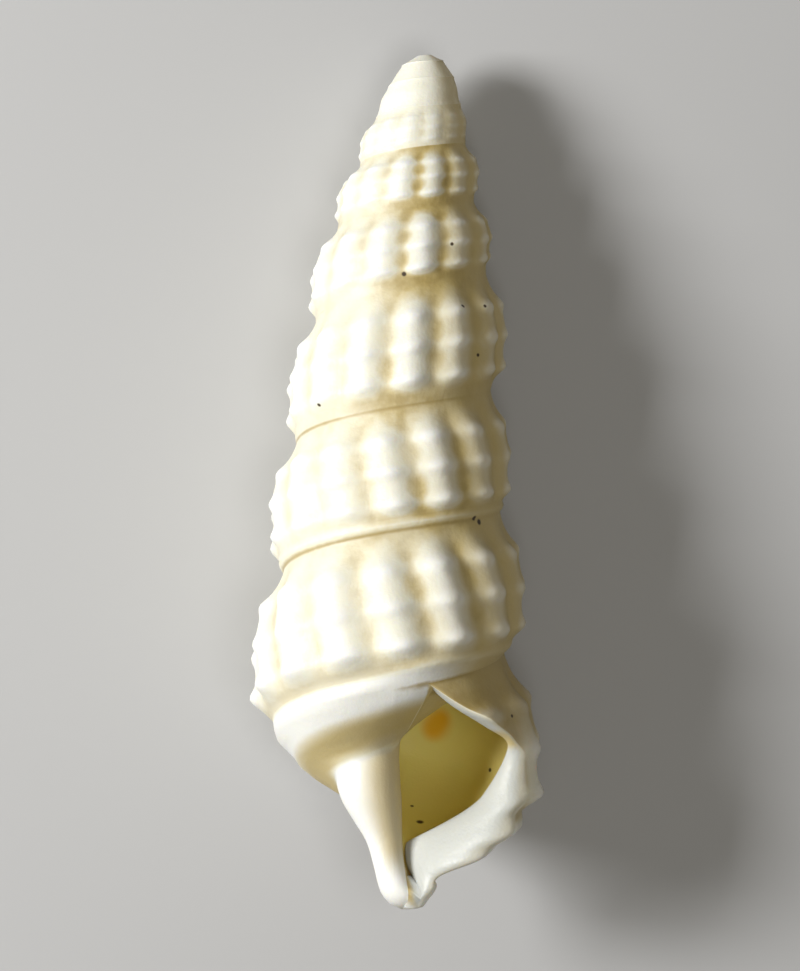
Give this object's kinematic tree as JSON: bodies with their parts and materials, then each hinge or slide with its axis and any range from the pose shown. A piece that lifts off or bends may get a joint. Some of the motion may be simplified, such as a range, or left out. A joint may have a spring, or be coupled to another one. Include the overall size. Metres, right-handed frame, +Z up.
{
  "type": "turreted sea-snail shell",
  "caption": "Slender turreted sea-snail shell with beaded ribs, a twisted canal and an open mouth, lying on its back.",
  "frame": {"origin": "bottom centre of the box around the shell, on the surface it lies on", "axes": "+Y along the shell towards the apex, +Z up, out of the mouth side, +X to the right of the mouth"},
  "size_m": [0.002, 0.006, 0.0019],
  "materials": {
    "shell_white": "satin, chalky white ribs over ochre grooves"
  },
  "bodies": {
    "root": {"shell": "shell_white"}
  },
  "joints": []
}
